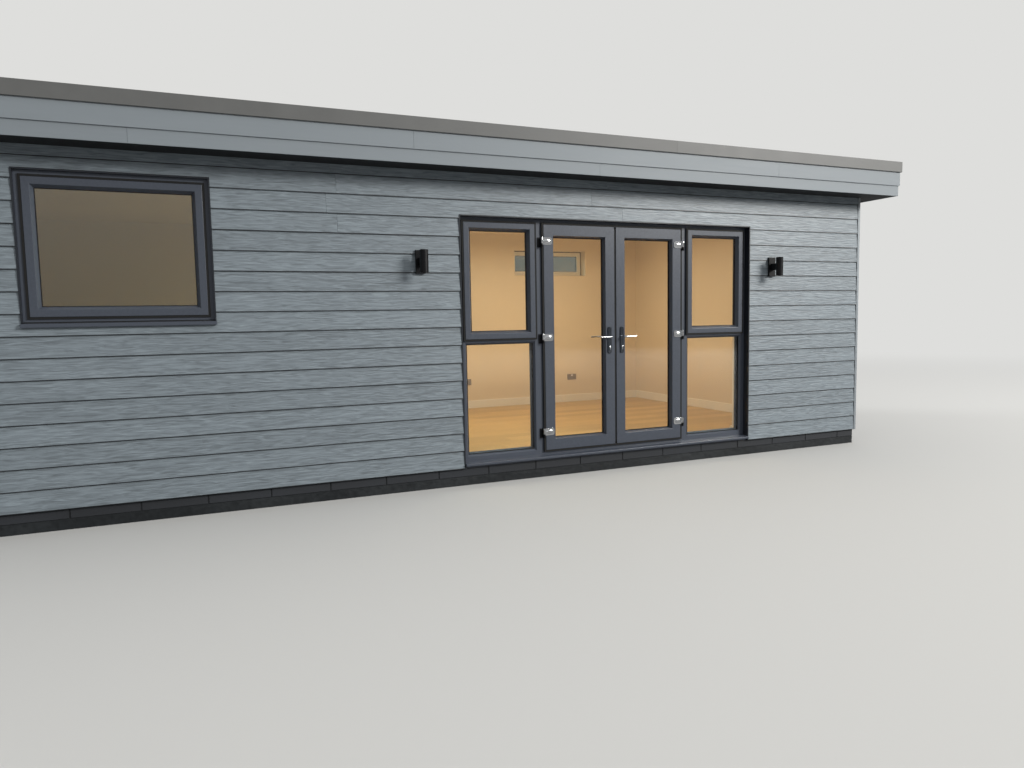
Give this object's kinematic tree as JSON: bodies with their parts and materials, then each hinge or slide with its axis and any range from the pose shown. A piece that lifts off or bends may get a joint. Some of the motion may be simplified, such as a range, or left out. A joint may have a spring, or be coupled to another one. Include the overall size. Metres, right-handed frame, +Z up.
{
  "type": "garden office pod",
  "caption": "Flat-roofed garden office with lapped board walls, a high window, double glazed doors between side lights, and wall lamps.",
  "frame": {"origin": "on the ground plane, under the middle of the roof", "axes": "+X to the right along the front, +Y from the front with the doors to the back, +Z up"},
  "size_m": [9.68, 4.786, 2.965],
  "materials": {
    "fibre_cement_boards": "embossed wood grain, dark blue-grey factory colour",
    "grey_trim": "smooth satin grey",
    "anthracite_upvc": "smooth anthracite, satin",
    "black_soffit": "black, matt",
    "glass": "clear sealed units",
    "chrome": "polished",
    "brushed_steel": "satin brushed plate",
    "black_metal": "satin black powder coat",
    "plaster": "cream emulsion on plaster",
    "white_paint": "white satin paint",
    "white_moulding": "white moulded",
    "oak_laminate": "oak, satin",
    "roof_membrane": "dark grey, matt",
    "dark_brick": "near-black brick",
    "footing": "concrete wrapped in black membrane"
  },
  "bodies": {
    "building": {"base_slab": "footing", "plinth_long_runs": "dark_brick", "plinth_ends": "dark_brick", "floor_boards": "oak_laminate", "front_wall": "plaster", "front_wall_panels": "plaster", "back_wall": "plaster", "back_wall_panels": "plaster", "left_wall": "plaster", "right_wall": "plaster", "front_cladding": "fibre_cement_boards", "back_cladding": "fibre_cement_boards", "end_cladding": "fibre_cement_boards", "corner_trims": "grey_trim", "skirting": "white_paint", "sockets": "brushed_steel", "ceiling": "plaster", "roof_deck": "black_soffit", "roof_membrane": "roof_membrane", "roof_trim": "grey_trim", "fascia_boards": "fibre_cement_boards", "soffit": "black_soffit", "reveal_liners": "anthracite_upvc", "door_frame_posts": "anthracite_upvc", "door_frame_rails": "anthracite_upvc", "side_light_sashes": "anthracite_upvc", "side_light_beads": "anthracite_upvc", "side_light_glass": "glass", "door_sill": "anthracite_upvc", "hinge_bases": "black_metal", "window_frames": "anthracite_upvc", "window_sash": "anthracite_upvc", "window_glass": "glass", "window_sill": "anthracite_upvc", "wall_lights": "black_metal"},
    "left_leaf": {"door_leaf_left": "anthracite_upvc", "door_glass_left": "glass", "handle_plates_left": "chrome", "hinge_flags_left": "chrome"},
    "right_leaf": {"door_leaf_right": "anthracite_upvc", "door_glass_right": "glass", "handle_plates_right": "chrome", "hinge_flags_right": "chrome"},
    "left_lever": {"levers_left": "chrome"},
    "right_lever": {"levers_right": "chrome"}
  },
  "joints": [
    {"name": "left_leaf_hinge", "type": "hinge", "parent": "building", "child": "left_leaf", "pos_m": [0.818, -2.082, 0], "axis": [0, 0, -1], "range_deg": [0, 90]},
    {"name": "right_leaf_hinge", "type": "hinge", "parent": "building", "child": "right_leaf", "pos_m": [2.31, -2.082, 0], "axis": [0, 0, 1], "range_deg": [0, 90]},
    {"name": "left_lever_turn", "type": "hinge", "parent": "left_leaf", "child": "left_lever", "pos_m": [1.498, -2.072, 1.233], "axis": [0, -1, 0], "range_deg": [0, 35], "stiffness_Nm_per_rad": 1.5, "springref_deg": -34.38},
    {"name": "right_lever_turn", "type": "hinge", "parent": "right_leaf", "child": "right_lever", "pos_m": [1.63, -2.072, 1.233], "axis": [0, 1, 0], "range_deg": [0, 35], "stiffness_Nm_per_rad": 1.5, "springref_deg": -34.38}
  ]
}
